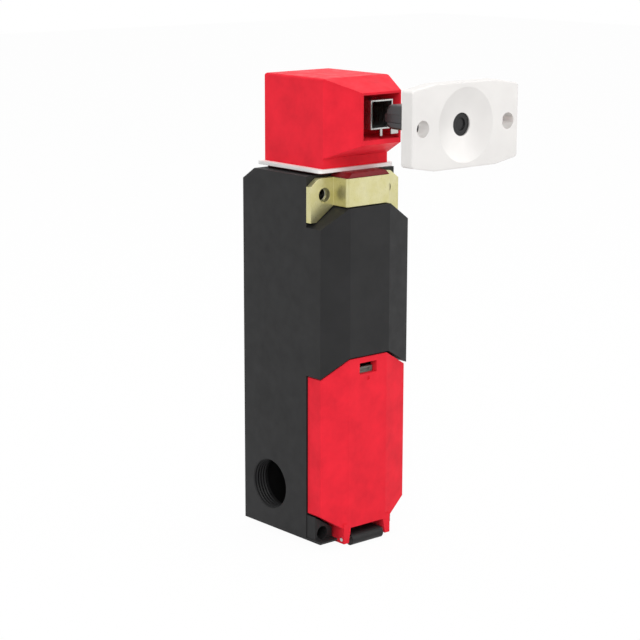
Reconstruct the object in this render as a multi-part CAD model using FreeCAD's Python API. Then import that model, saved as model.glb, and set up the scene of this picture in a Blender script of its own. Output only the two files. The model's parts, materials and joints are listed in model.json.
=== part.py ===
"""Tongue interlock switch with solenoid locking: an assembly of separate pieces.

Millimetres, +Z up, +X to the right seen from the front, -Y towards the front (the side that the
tongue enters).  Origin: on the mounting face (the back), midway between the two lower fixing holes.
"""
import FreeCAD, Part

import math
import os

from FreeCAD import Vector

# ---------------------------------------------------------------- driving dimensions
# fits and walls
RUNNING = 0.06           # radial clearance of a shaft that turns or slides
LOOSE = 0.35             # clearance between parts that pass each other
SEAM = 0.2               # gap between neighbouring covers
PAST = 1.0               # how far a cutting tool runs past the face that it opens
# body
BODY_W = 51.0            # width of the body
BODY_D = 43.7            # depth from the mounting face to the front wall plane
BODY_H = 163.5           # height of the body without the head
WALL = 2.8               # wall of the body
BACK_WALL = 3.0          # wall on the mounting face
BOSS_WALL = 1.7          # wall round the fixing holes
TOP_BEVEL_RUN = 8.1      # bevel on the upper back edge, along Y
TOP_BEVEL_DROP = 5.2     # and down Z
# swelling on the upper front that houses the solenoid
BULGE_OUT = 13.05        # how far its flat middle stands in front of the front wall plane
BULGE_SIDE_OUT = 9.6     # and its sides
BULGE_FLAT = 23.0        # width of its flat middle
BULGE_GAP = 0.5          # between its upper edge and the bracket
BULGE_FALL = 8.4         # how far the upper edge falls towards the sides
BULGE_TOP_FLAT = 24.0    # width of the upper edge's level part
# fixing holes
FIX_LOW_RISE = 4.0       # lower holes above the bottom of the body
FIX_LOW_GAP = 42.4       # lower holes, centre to centre
FIX_LOW_R = 2.95
FIX_HIGH_DROP = 8.4      # upper holes below the top of the body
FIX_HIGH_GAP = 35.6      # upper holes, centre to centre
FIX_HIGH_R = 2.65        # bore of the steel bushes in the upper holes
BUSH_WALL = 0.45
# feet round the lower holes
FOOT_W = 10.0
FOOT_OUT = 5.9           # how far they stand in front of the wall plane
FOOT_INSET = 0.3         # from the side of the body
FOOT_GAP = 1.1           # below the lid's lower edge
FOOT_BEVEL = 4.4         # run of the right foot's bevel
FOOT_BEVEL_OUT = 5.0     # how far out the bevel ends
FOOT_RIGHT_OUT = 7.1     # how far out the right foot's inner edge stands
LEDGE_OUT = 10.3         # thin ledge under the left foot
LEDGE_T = 1.1
# cable entries
ENTRY_R = 11.25          # threaded bore
ENTRY_BACK = 18.0        # its centre, in front of the mounting face
ENTRY_RISE = 20.0        # and above the bottom
ENTRY_LENGTH = 8.0
ENTRY_CHAMFER = 0.4
PLUG_LIP = 1.8           # plug of the right-hand entry: flange beyond the bore
PLUG_HEAD = 1.6          # thickness of the flange
PLUG_SOCKET = 5.0        # corner radius of its hexagon socket
PLUG_SOCKET_DEPTH = 5.6
# wiring lid
LID_INSET = 0.7          # narrower than the body on each side
LID_OUT = 12.3           # front face in front of the wall plane
LID_SIDE_OUT = 8.8
LID_FLAT = 22.0          # width of its flat middle
LID_WALL = 2.2
LID_SEAM = 0.3           # gap between its rim and the body
LID_HIGH = 82.8          # upper edge in the middle, above the bottom of the body
LID_HIGH_SIDE = 74.9     # and at the sides
LID_LOW = 5.3            # lower edge in the middle
LID_LOW_SIDE = 12.6      # and at the sides
LID_LOW_FLAT = 27.0      # width of the lower edge's level part
LID_GAP = 0.7            # between the lid and the swelling
WINDOW_W = 10.0
WINDOW_H = 5.1
WINDOW_DROP = 7.7        # lower edge of the window below the lid's upper edge
DIMPLE_R = 0.9
DIMPLE_DEPTH = 0.5
DIMPLE_DROP = 10.0       # below the lid's upper edge
SEAL_T = 0.9             # seal round the wiring compartment
SEAL_W = 1.0
SEAL_LAND = 0.5          # between the seal and the opening
# lid latch
LATCH_W = 9.0
LATCH_T = 1.5
LATCH_H = 11.6
LATCH_SHOW = 2.5         # height of it that the window shows
LATCH_BACK = 0.3         # behind the lid's front wall
LATCH_GROOVE_W = 5.8     # groove for a screwdriver
LATCH_GROOVE_H = 1.0
LATCH_GROOVE_DEPTH = 0.6
LATCH_GROOVE_RISE = 0.7  # above the window's lower edge
RAIL_W = 1.5             # rails beside the latch
RAIL_PAST = 2.0          # how far they run below the latch
# lid hinge
KNUCKLE_R = 2.6          # middle knuckle, on the body
KNUCKLE_W = 18.2
KNUCKLE_OUT = 10.5       # its centre in front of the wall plane
KNUCKLE_DROP = 0.8       # and below the bottom of the body
HINGE_LIFT = 1.0         # pin above the knuckle's centre
HINGE_PIN_R = 0.9
LUG_W = 4.5              # lugs of the lid, at their root
LUG_TIP_W = 2.9          # and at the tip
LUG_DROP = 1.6           # tip below the bottom of the body
LUG_BACK = 1.7           # their back, in front of the wall plane
# turret
TURRET_BACK = 16.9       # turret axis behind the front wall plane
PLATE_W = 43.0           # white turret plate
PLATE_D = 42.0
PLATE_FORWARD = 0.4      # its middle ahead of the turret axis
PLATE_T = 1.6
PLATE_CORNER = 1.3       # chamfer of its front corners
BASE_T = 1.2             # turret base under it
BASE_SIDE_INSET = 4.0    # base narrower than the plate on each side
BASE_BACK_INSET = 2.0
SPIGOT_R = 14.0
SPIGOT_DROP = 6.0
SEAL_GROOVE = 1.0        # depth of the spigot's groove
SEAL_GROOVE_W = 2.0
LOBE_W = 24.0            # lobe of the base in the bracket's hat
LOBE_TAPER = 2.3
LOBE_BACK = 0.3          # behind the bracket's front
SCREW_R = 1.5            # screws that clamp the head
SCREW_HEAD_R = 2.25
SCREW_HEAD_T = 1.6
SCREW_X = 10.6
SCREW_Y = 4.2
SCREW_BITE = 8.0
# head
HEAD_W = 37.4
HEAD_D = 39.6
HEAD_H = 38.7
HEAD_FLOOR = 3.2
HEAD_BACK_ROUND = 0.4    # upright back edges
HEAD_TOP_ROUND = 1.2
SNOUT_OUT = 16.8         # front of the snout ahead of the head's front face
SNOUT_W = 22.2           # at its front
SNOUT_LOW = 11.1         # its front face starts this far above the head's underside
SNOUT_HIGH = 33.3
SNOUT_ROOT = 4.4         # lower slope starts here
MOUTH_W = 20.7
MOUTH_LOW = 13.1
MOUTH_HIGH = 32.3
MOUTH_DEPTH = 13.0
MOUTH_TAPER = 1.6        # each side, over the depth
MOUTH_TAPER_HIGH = 0.8   # above and below
CAVITY_W = 16.0          # room of the cam
CAVITY_REACH = 12.9      # ahead of the axis and behind it
CAVITY_OVER = 8.0        # above the centre of the tongue
# key guide
GUIDE_W = 12.5
GUIDE_H = 12.4
GUIDE_T = 0.6
GUIDE_SET = 0.3          # leg and tab behind the snout's front face
GUIDE_LEG_W = 1.2
GUIDE_LEG_T = 0.9
GUIDE_LEG_H = 3.0
GUIDE_TAB_W = 4.2
GUIDE_TAB_T = 0.6
GUIDE_TAB_H = 2.6
KEY_RISE = 23.7          # centre of the tongue above the head's underside
# bracket
BRACKET_W = 25.2
BRACKET_H = 12.3
BRACKET_T = 2.5
BRACKET_OUT = 12.1       # its front ahead of the front wall plane
BRACKET_DROP = 1.0       # below the top of the body
BRACKET_ROUND = 1.2
BRACKET_ROUND_IN = 0.5
BRACKET_HOLE_R = 3.15
EAR_T = 3.0
EAR_H = 19.0
EAR_SLOPE_END = 3.1      # the lower slope of an ear ends this far from the body's side
EAR_CORNER_RUN = 4.8
EAR_CORNER_DROP = 3.5
# cam and plunger
CAM_DROP = 10.75         # cam axis below the centre of the tongue
CAM_W = 6.0
CAM_LOW_R = 9.0          # cam radius over the plunger with the tongue out
CAM_STROKE = 5.0         # how far the plunger rises when the tongue is in
CAM_RELIEF = 0.3         # how much deeper the spiral ends
CAM_TURN = 55.0          # degrees
CAM_LEAD = 24.0          # degrees of the round part before the spiral
CAM_STEPS = 14
CAM_GAP = 0.4
TOOTH_R = 10.5           # claw of the cam
TOOTH_W = 4.6
CLAW_TIP = 0.8
CLAW_ROOT = 1.3
CLAW_DROP = 11.0         # degrees that the claw points below the level at rest
HUB_R = 3.8
SHAFT_R = 2.5
SHAFT_LENGTH = 30.0
BUSHING_R = 5.0
ROD_R = 3.0
ROD_NECK_R = 2.2
ROD_TIP_R = 1.5
ROD_TIP_CONE = 1.2
ROD_NECK_ROOM = 1.0      # thin part of the rod above the lock nose, with the rod up
COLLAR_T = 1.8
COLLAR_R = 6.0
COLLAR_GAP = 0.6         # collar below the lock nose
# solenoid
SOLENOID_OUT = 0.2       # its axis ahead of the front wall plane
YOKE_W = 24.0
YOKE_D = 19.0
YOKE_H = 34.0
YOKE_T = 2.5
YOKE_DROP = 7.7          # below the swelling's upper edge
SHELF_T = 2.5            # shelf of the body that carries it
SHELF_GAP = 5.5          # from the lock slide up to the shelf
CORE_R = 4.3
CORE_LENGTH = 8.0
BOBBIN_R = 5.4
BOBBIN_FLANGE = 1.5
WINDING_GAP = 0.4        # winding inside the edge of the flanges
ARMATURE_R = 4.0
ARMATURE_DROP = 8.0      # its lower end below the lock slide
FORK_ROOM = 0.5
RETURN_R = 2.4           # outside of the armature's spring
RETURN_WALL = 0.7
RETURN_ROOM = 0.2
RETURN_DEPTH = 12.0
PIN_R = 1.25
PIN_DROP = 2.8           # pin below the lock slide's nose
PIN_INSET = 0.2          # pin shorter than the armature's width, each side
# lock
LOCK_STROKE = 3.6
LOCK_NOSE = 2.0
LOCK_GAP = 0.4           # between the nose and the collar's edge
SLIDE_T = 1.6
SLIDE_BACK = 9.4         # front end of the slide ahead of the solenoid's axis
SLIDE_STEP = 6.0
SLIDE_HEEL = 2.8
SLIDE_TOE = 5.2
SLIDE_DEPTH = 9.0        # below the nose's underside
SLIDE_SHELF = 4.0
SLIDE_TOE_RISE = 1.8
SLOT_ROOM = 0.2
POST_W = 9.0             # guide posts of the slide
POST_T = 2.7
POST_FRONT = 6.5         # front post starts this far ahead of the solenoid's axis
POST_REAR = 7.0          # rear post starts this far behind it
POST_DROP = 10.0
# contacts
BLOCK_W = 34.0
BLOCK_BACK = 4.5         # its front behind the front wall plane
BLOCK_ROOM = 14.0        # its top below the lock slide
BLOCK_FLOOR = 5.0
CHAMBER_SIDE = 1.5       # room beside the carrier
CHAMBER_FRONT = 1.0
CHAMBER_OVER = 1.5
CARRIER_W = 13.0
CARRIER_D = 8.4
CARRIER_H = 14.0
CARRIER_ROOM = 13.0      # its top below the block's top
SPRING_H = 8.0           # return spring under the carrier
SPRING_R = 2.8
SPRING_WALL = 0.7
BRIDGE_T = 0.8
BRIDGE_D = 4.0
BRIDGE_PROUD = 1.0       # beyond the carrier on each side
BRIDGE_PITCH = 6.4
BRIDGE_SLOT_H = 3.2
TERMINAL_PITCH = 8.8
TERMINAL_ROW = 13.0      # between the two rows
TERMINAL_RISE = 4.5      # lower row above the block's bottom
POCKET_W = 7.2
POCKET_H = 8.0
POCKET_D = 5.0
CLAMP_W = 6.4
CLAMP_H = 6.0
CLAMP_T = 2.4
CLAMP_SCREW_R = 2.4
CLAMP_SCREW_T = 2.0
SLOT_W = 0.8
SLOT_DEPTH = 0.8
EARTH_X = 10.0
EARTH_RISE = 40.0
EARTH_PAD_R = 4.2
EARTH_PAD_T = 1.6
EARTH_SCREW_R = 3.0
EARTH_SCREW_T = 2.4
# actuator
ACT_W = 60.3
ACT_H = 35.0
ACT_H_END = 30.6
ACT_SHOULDER = 35.0      # width over which the plate keeps its full height
ACT_T = 6.1
ACT_GAP = 44.5           # back of the plate ahead of the snout's front face, as it rests
ACT_CORNER = 1.5
ACT_EDGE = 0.5
ACT_HOLE_R = 3.4
ACT_HOLE_EDGE = 5.95     # hole centre from the plate's end
DISH_R = 15.4
DISH_DEPTH = 3.0
EYE_R = 4.8
EYE_LIP = 0.4
SOCKET_R = 7.4           # outside of the socket ring
SOCKET_REACH = 2.4       # how far the ring runs behind the ball's centre
SOCKET_CHAMFER = 0.5
SEAT_FRONT = 2.4         # circle where the plate's seat touches, ahead of the ball's centre
SEAT_BACK = 1.8          # circle where the ring's seat touches, behind it
BALL_R = 5.8
BALL_FLAT = 3.4          # half length of the ball between its flats
BALL_DIMPLE_R = 2.7
BALL_DIMPLE_DEPTH = 0.6
TANG_T = 3.8
TANG_H = 4.0
TANG_ROOM = 0.3
TANG_PIN_R = 1.2
TONGUE_LENGTH = 39.3     # from the plate's back face to its tip
TONGUE_W = 8.0
TONGUE_H = 10.5
TONGUE_NOSE_R = 3.8
TONGUE_EDGE = 1.4
TONGUE_GAP = 0.9         # shoulder behind the ball
GROOVE_H = 3.6
GROOVE_D = 0.8
GROOVE_DROP = 0.6        # middle of the groove below the middle of the tongue
WEB_PROUD = 1.0          # web past the lobes at the tip
WEB_ROUND = 0.8
TIP_BAR = 2.7            # bar between the claw's pocket and the tip
POCKET_LENGTH = 8.6
POCKET_DEPTH = 4.2

# ---------------------------------------------------------------- derived places
BASE = -FIX_LOW_RISE                 # underside of the body
BACK = 0.0                           # mounting face
FRONT = -BODY_D                      # front wall plane
TOP = BASE + BODY_H
BODY_HALF = BODY_W / 2.0
INSIDE = BACK - BACK_WALL            # inner face of the back wall
AXIS_Y = FRONT + TURRET_BACK         # turret, plunger and cam
PLATE_LOW = TOP + BASE_T
HEAD_LOW = PLATE_LOW + PLATE_T
HEAD_TOP = HEAD_LOW + HEAD_H
HEAD_FRONT = AXIS_Y - HEAD_D / 2.0
SNOUT_FRONT = HEAD_FRONT - SNOUT_OUT
MOUTH_BACK = SNOUT_FRONT + MOUTH_DEPTH
CAVITY_FRONT = AXIS_Y - CAVITY_REACH
KEY_Z = HEAD_LOW + KEY_RISE
CAM_Z = KEY_Z - CAM_DROP
SPIGOT_LOW = TOP - SPIGOT_DROP
FIX_HIGH_Z = TOP - FIX_HIGH_DROP
BUSH_R = FIX_HIGH_R + BUSH_WALL
BRACKET_TOP = TOP - BRACKET_DROP
BRACKET_LOW = BRACKET_TOP - BRACKET_H
BRACKET_FRONT = FRONT - BRACKET_OUT
EAR_LOW = BRACKET_TOP - EAR_H
BULGE_TOP = BRACKET_LOW - BULGE_GAP
LID_FRONT = FRONT - LID_OUT
LID_HALF = BODY_HALF - LID_INSET
LID_TOP = BASE + LID_HIGH
OPENING_INSET = LID_WALL + SEAL_W + SEAL_LAND
OPENING_HALF = LID_HALF - OPENING_INSET
OPENING_LOW = BASE + LID_LOW_SIDE + OPENING_INSET
OPENING_TOP = BASE + LID_HIGH_SIDE - OPENING_INSET
BULKHEAD = OPENING_TOP + WALL        # floor of the mechanism chamber
WINDOW_LOW = LID_TOP - WINDOW_DROP
LATCH_TOP = WINDOW_LOW + LATCH_SHOW
LATCH_LOW = LATCH_TOP - LATCH_H
LATCH_Y = LID_FRONT + LID_WALL + LATCH_BACK
ENTRY_Y = BACK - ENTRY_BACK
ENTRY_Z = BASE + ENTRY_RISE
KNUCKLE_Y = FRONT - KNUCKLE_OUT
KNUCKLE_Z = BASE - KNUCKLE_DROP
HINGE_Z = KNUCKLE_Z + HINGE_LIFT
LUG_INNER = KNUCKLE_W / 2.0 + SEAM
LUG_OUTER = LUG_INNER + LUG_W
SOLENOID_Y = FRONT - SOLENOID_OUT
YOKE_TOP = BULGE_TOP - YOKE_DROP
YOKE_LOW = YOKE_TOP - YOKE_H
COIL_LOW = YOKE_LOW + YOKE_T
COIL_TOP = YOKE_TOP - YOKE_T
FLANGE_R = YOKE_D / 2.0 - YOKE_T
SHELF_LOW = YOKE_LOW - SHELF_T
LOCK_Z = SHELF_LOW - SHELF_GAP       # underside of the lock nose
ARMATURE_TOP = YOKE_TOP - CORE_LENGTH - SEAM
PIN_Z = LOCK_Z - PIN_DROP
BLOCK_FRONT = FRONT + BLOCK_BACK
BLOCK_TOP = LOCK_Z - BLOCK_ROOM
CARRIER_TOP = BLOCK_TOP - CARRIER_ROOM
CARRIER_LOW = CARRIER_TOP - CARRIER_H
SPRING_LOW = CARRIER_LOW - SPRING_H
BLOCK_LOW = SPRING_LOW - BLOCK_FLOOR
ACT_BACK = SNOUT_FRONT - ACT_GAP
ACT_FRONT = ACT_BACK - ACT_T
ACT_HOLE_X = ACT_W / 2.0 - ACT_HOLE_EDGE
TIP_Y = ACT_BACK + TONGUE_LENGTH
DISH_FLOOR = ACT_FRONT + DISH_DEPTH
SEAT_R = BALL_R + RUNNING
BALL_Y = DISH_FLOOR + EYE_LIP + math.sqrt(SEAT_R ** 2 - EYE_R ** 2)
SOCKET_BACK = BALL_Y + SOCKET_REACH
SHOULDER_Y = BALL_Y + BALL_FLAT + TONGUE_GAP
GROOVE_Z = KEY_Z - GROOVE_DROP


# ---------------------------------------------------------------- small tools
def box(x0, x1, y0, y1, z0, z1):
    return Part.makeBox(x1 - x0, y1 - y0, z1 - z0, Vector(x0, y0, z0))


def wide_box(half, y0, y1, z0, z1):
    """Box that reaches as far to the left as to the right."""
    return box(-half, half, y0, y1, z0, z1)


def side_box(side, inner, outer, y0, y1, z0, z1):
    """Box on the left (-1) or the right (+1), between two distances from the middle."""
    x0, x1 = sorted((side * inner, side * outer))
    return box(x0, x1, y0, y1, z0, z1)


def rod_x(r, x0, x1, y, z):
    return Part.makeCylinder(r, x1 - x0, Vector(x0, y, z), Vector(1, 0, 0))


def rod_y(r, x, y0, y1, z):
    return Part.makeCylinder(r, y1 - y0, Vector(x, y0, z), Vector(0, 1, 0))


def rod_z(r, x, y, z0, z1):
    return Part.makeCylinder(r, z1 - z0, Vector(x, y, z0), Vector(0, 0, 1))


def prism(corners, way):
    """Straight-sided outline, pushed along a vector."""
    wire = Part.makePolygon(corners + [corners[0]])
    return Part.Face(wire).extrude(way)


def prism_xy(points, z0, z1):
    return prism([Vector(x, y, z0) for x, y in points], Vector(0, 0, z1 - z0))


def prism_xz(points, y0, y1):
    return prism([Vector(x, y0, z) for x, z in points], Vector(0, y1 - y0, 0))


def prism_yz(points, x0, x1):
    return prism([Vector(x0, y, z) for y, z in points], Vector(x1 - x0, 0, 0))


def both_sides(points):
    """A right-hand half outline, bottom to top, and its mirror image."""
    return points + [(-x, z) for x, z in reversed(points)]


def rectangle(half, y, z0, z1):
    """Closed upright rectangle in the plane of one y."""
    corners = [Vector(-half, y, z0), Vector(half, y, z0), Vector(half, y, z1), Vector(-half, y, z1)]
    return Part.makePolygon(corners + [corners[0]])


def join(shapes):
    whole = shapes[0]
    for shape in shapes[1:]:
        whole = whole.fuse(shape)
    return whole.removeSplitter()


def cut(shape, tools):
    for tool in tools:
        shape = shape.cut(tool)
    return shape


def mirrored(shape):
    return shape.mirror(Vector(0, 0, 0), Vector(1, 0, 0))


def along(edge, way):
    """True for a straight edge that runs along the vector."""
    if edge.Curve.TypeId != "Part::GeomLine":
        return False
    return abs(edge.Curve.Direction.dot(way)) > 0.999


def upright(edge):
    return along(edge, Vector(0, 0, 1))


def at(value, place):
    return abs(value - place) < 0.01


def crosswise(edge, y):
    """True for an edge that runs along X in the plane of one y."""
    return along(edge, Vector(1, 0, 0)) and at(edge.BoundBox.YMax, y)


def soften(shape, radius, wanted):
    """Round the edges that the test picks."""
    return shape.makeFillet(radius, [edge for edge in shape.Edges if wanted(edge)])


def save(name, shape):
    if isinstance(shape, list):
        shape = Part.Compound(shape)
    assert shape.isValid(), name
    shape.exportStep("parts/" + name + ".step")
    print(name, len(shape.Solids), round(shape.Volume, 1))


# ---------------------------------------------------------------- body
def front_section(side_out, middle_out, half_width, half_flat, back):
    """Plan of a front cover: straight sides, shallow slopes and a flat middle."""
    right = [(half_flat, FRONT - middle_out), (half_width, FRONT - side_out), (half_width, back)]
    left = [(-x, y) for x, y in reversed(right)]
    return left + right


def bulge(inset):
    """The swelling, or the room in it when it is inset by the wall."""
    half = BODY_HALF - inset
    plan = front_section(BULGE_SIDE_OUT - inset, BULGE_OUT - inset, half, BULGE_FLAT / 2.0, FRONT + inset)
    low = BASE + LID_HIGH + LID_GAP + inset
    low_side = BASE + LID_HIGH_SIDE + LID_GAP + inset
    high = BULGE_TOP - inset
    outline = both_sides([(BULGE_FLAT / 2.0, low), (half, low_side), (half, high - BULGE_FALL),
                          (BULGE_TOP_FLAT / 2.0, high)])
    front = FRONT - BULGE_OUT - PAST
    return prism_xy(plan, BASE, TOP).common(prism_xz(outline, front, FRONT + inset + PAST))


def body_shell():
    side = [(FRONT, BASE), (BACK, BASE), (BACK, TOP - TOP_BEVEL_DROP), (BACK - TOP_BEVEL_RUN, TOP),
            (FRONT, TOP)]
    block = join([prism_yz(side, -BODY_HALF, BODY_HALF), bulge(0.0)])
    inner = BODY_HALF - WALL
    wiring = wide_box(inner, FRONT + WALL, INSIDE, BASE + WALL, OPENING_TOP)
    chamber = wide_box(inner, FRONT + WALL, INSIDE, BULKHEAD, TOP - WALL)
    under_bevel = [(INSIDE - TOP_BEVEL_RUN, TOP), (BACK, TOP - TOP_BEVEL_DROP - BACK_WALL), (BACK, TOP)]
    chamber = chamber.cut(prism_yz(under_bevel, -BODY_HALF, BODY_HALF))
    opening = wide_box(OPENING_HALF, FRONT - PAST, FRONT + WALL + PAST, OPENING_LOW, OPENING_TOP)
    return cut(block, [wiring, chamber, bulge(WALL), opening])


def feet():
    """Feet round the lower fixing holes: square with a ledge on the left, bevelled on the right."""
    inner = BODY_HALF - FOOT_W
    outer = BODY_HALF - FOOT_INSET
    slope = (LID_LOW_SIDE - LID_LOW) / (LID_HALF - LID_LOW_FLAT / 2.0)
    top_at = [BASE + LID_LOW - FOOT_GAP + slope * (x - LID_LOW_FLAT / 2.0) for x in (inner, outer)]
    profile = [(inner, BASE), (outer, BASE), (outer, top_at[1]), (inner, top_at[0])]
    left = mirrored(prism_xz(profile, FRONT - FOOT_OUT, FRONT + WALL))
    ledge = side_box(-1, inner, BODY_HALF, FRONT - LEDGE_OUT, FRONT, BASE, BASE + LEDGE_T)
    bevel = [(inner, FRONT + WALL), (outer, FRONT + WALL), (outer, FRONT),
             (outer - FOOT_BEVEL, FRONT - FOOT_BEVEL_OUT), (inner, FRONT - FOOT_RIGHT_OUT)]
    right = prism_xz(profile, FRONT - FOOT_RIGHT_OUT, FRONT + WALL).common(prism_xy(bevel, BASE, top_at[1]))
    return [left, ledge, right]


def hinge_knuckle():
    """Middle knuckle of the lid hinge, with the web that carries it."""
    half = KNUCKLE_W / 2.0
    barrel = rod_x(KNUCKLE_R, -half, half, KNUCKLE_Y, KNUCKLE_Z)
    web = wide_box(half, KNUCKLE_Y, FRONT + WALL, BASE, KNUCKLE_Z + KNUCKLE_R)
    return [barrel, web]


def solenoid_shelf():
    """Shelf across the mechanism chamber and the swelling."""
    room = bulge(0.0).fuse(wide_box(BODY_HALF, FRONT, BACK, BASE, TOP))
    back = SOLENOID_Y + YOKE_D / 2.0
    return wide_box(BODY_HALF - WALL, FRONT - BULGE_SIDE_OUT, back, SHELF_LOW, YOKE_LOW).common(room)


def body_bosses():
    bosses = []
    inside = wide_box(BODY_HALF, FRONT, BACK, BASE, TOP)
    for side in (-1, 1):
        x = side * FIX_LOW_GAP / 2.0
        bosses.append(rod_y(FIX_LOW_R + BOSS_WALL, x, FRONT, BACK, BASE + FIX_LOW_RISE).common(inside))
        bosses.append(rod_y(BUSH_R + BOSS_WALL, side * FIX_HIGH_GAP / 2.0, FRONT, BACK, FIX_HIGH_Z))
        x0, x1 = sorted((side * (BODY_HALF - ENTRY_LENGTH), side * BODY_HALF))
        bosses.append(rod_x(ENTRY_R + WALL, x0, x1, ENTRY_Y, ENTRY_Z))
    return bosses


def body_housing():
    shape = join([body_shell(), solenoid_shelf()] + feet() + hinge_knuckle() + body_bosses())
    holes = [rod_z(SPIGOT_R + LOOSE, 0, AXIS_Y, SPIGOT_LOW - PAST, TOP + PAST),
             rod_z(ARMATURE_R + LOOSE, 0, SOLENOID_Y, SHELF_LOW - PAST, YOKE_LOW + PAST),
             rod_x(HINGE_PIN_R, -BODY_HALF, BODY_HALF, KNUCKLE_Y, HINGE_Z),
             wide_box(BLOCK_W / 2.0, BLOCK_FRONT, INSIDE, OPENING_TOP - PAST, BULKHEAD + PAST)]
    for side in (-1, 1):
        x = side * FIX_LOW_GAP / 2.0
        holes.append(rod_y(FIX_LOW_R, x, FRONT - FOOT_RIGHT_OUT - PAST, BACK + PAST, BASE + FIX_LOW_RISE))
        holes.append(rod_y(BUSH_R, side * FIX_HIGH_GAP / 2.0, FRONT - PAST, BACK + PAST, FIX_HIGH_Z))
        x0, x1 = sorted((side * (BODY_HALF - ENTRY_LENGTH - PAST), side * (BODY_HALF + PAST)))
        holes.append(rod_x(ENTRY_R, x0, x1, ENTRY_Y, ENTRY_Z))
        holes.append(Part.makeCone(ENTRY_R, ENTRY_R + ENTRY_CHAMFER, ENTRY_CHAMFER,
                                   Vector(side * (BODY_HALF - ENTRY_CHAMFER), ENTRY_Y, ENTRY_Z),
                                   Vector(side, 0, 0)))
    return cut(shape, holes)


def fixing_bushes():
    """Steel tubes through the upper fixing holes."""
    bushes = []
    for side in (-1, 1):
        x = side * FIX_HIGH_GAP / 2.0
        tube = rod_y(BUSH_R, x, FRONT, BACK, FIX_HIGH_Z)
        bushes.append(tube.cut(rod_y(FIX_HIGH_R, x, FRONT - PAST, BACK + PAST, FIX_HIGH_Z)))
    return bushes


def entry_plug():
    """Screwed plug in the right-hand cable entry, with a hexagon socket."""
    low = BODY_HALF - ENTRY_LENGTH
    head = BODY_HALF + PLUG_HEAD
    shank = rod_x(ENTRY_R - RUNNING, low + PAST, BODY_HALF, ENTRY_Y, ENTRY_Z)
    flange = rod_x(ENTRY_R + PLUG_LIP, BODY_HALF, head, ENTRY_Y, ENTRY_Z)
    angles = [math.radians(60 * i) for i in range(6)]
    hexagon = [(ENTRY_Y + PLUG_SOCKET * math.cos(a), ENTRY_Z + PLUG_SOCKET * math.sin(a)) for a in angles]
    return shank.fuse(flange).cut(prism_yz(hexagon, head - PLUG_SOCKET_DEPTH, head + PAST))


# ---------------------------------------------------------------- lid
def lid_outline(inset):
    half = LID_HALF - inset
    return both_sides([(LID_LOW_FLAT / 2.0, BASE + LID_LOW + inset), (half, BASE + LID_LOW_SIDE + inset),
                       (half, BASE + LID_HIGH_SIDE - inset), (LID_FLAT / 2.0, LID_TOP - inset)])


def lid_form(inset, back):
    plan = front_section(LID_SIDE_OUT - inset, LID_OUT - inset, LID_HALF - inset, LID_FLAT / 2.0, back)
    return prism_xy(plan, BASE, TOP).common(prism_xz(lid_outline(inset), LID_FRONT - PAST, FRONT + PAST))


def wiring_lid():
    """Wiring lid: a shell with a window over the latch, a dimple and two hinge lugs."""
    shell = lid_form(0.0, FRONT - LID_SEAM).cut(lid_form(LID_WALL, FRONT))
    lugs = lid_lug()
    shape = join([shell, lugs, mirrored(lugs)] + latch_rails())
    window = wide_box(WINDOW_W / 2.0, LID_FRONT - PAST, LATCH_Y - LATCH_BACK, WINDOW_LOW,
                      WINDOW_LOW + WINDOW_H)
    dimple = rod_y(DIMPLE_R, 0, LID_FRONT - PAST, LID_FRONT + DIMPLE_DEPTH, LID_TOP - DIMPLE_DROP)
    bore = rod_x(HINGE_PIN_R + RUNNING, -LUG_OUTER - PAST, LUG_OUTER + PAST, KNUCKLE_Y, HINGE_Z)
    return cut(shape, [window, dimple, bore])


def lid_lug():
    """Right-hand hinge lug: a deep block that narrows towards its tip."""
    low = BASE - LUG_DROP
    high = BASE + LID_LOW + LID_WALL
    profile = [(LUG_OUTER - LUG_TIP_W, low), (LUG_OUTER, low), (LUG_OUTER, high), (LUG_INNER, high)]
    return prism_xz(profile, LID_FRONT, FRONT - LUG_BACK)


def latch_rails():
    """Two rails inside the lid that the latch slides between."""
    inner = LATCH_W / 2.0 + LOOSE
    return [side_box(side, inner, inner + RAIL_W, LID_FRONT + LID_WALL, LATCH_Y + LATCH_T,
                     LATCH_LOW - RAIL_PAST, LID_TOP - LID_WALL) for side in (-1, 1)]


def lid_seal():
    """Flat seal inside the lid's wall; it meets the body round the opening."""
    outer = prism_xz(lid_outline(LID_WALL), FRONT - SEAL_T, FRONT)
    return outer.cut(prism_xz(lid_outline(LID_WALL + SEAL_W), FRONT - SEAL_T - PAST, FRONT + PAST))


def lid_latch():
    """Latch behind the window, between the lid's rails, with a groove for a screwdriver."""
    plate = wide_box(LATCH_W / 2.0, LATCH_Y, LATCH_Y + LATCH_T, LATCH_LOW, LATCH_TOP)
    low = WINDOW_LOW + LATCH_GROOVE_RISE
    groove = wide_box(LATCH_GROOVE_W / 2.0, LATCH_Y - PAST, LATCH_Y + LATCH_GROOVE_DEPTH, low,
                      low + LATCH_GROOVE_H)
    return plate.cut(groove)


def hinge_pin():
    return rod_x(HINGE_PIN_R, -LUG_OUTER, LUG_OUTER, KNUCKLE_Y, HINGE_Z)


# ---------------------------------------------------------------- turret and head
def head_screw_places():
    return [(sx * SCREW_X, AXIS_Y + sy * SCREW_Y) for sx in (-1, 1) for sy in (-1, 1)]


def turret_holes(low, high):
    """Bore for the plunger's bush and holes for the four screws."""
    screws = [rod_z(SCREW_R, x, y, low, high) for x, y in head_screw_places()]
    return [rod_z(BUSHING_R, 0, AXIS_Y, low, high)] + screws


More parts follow.
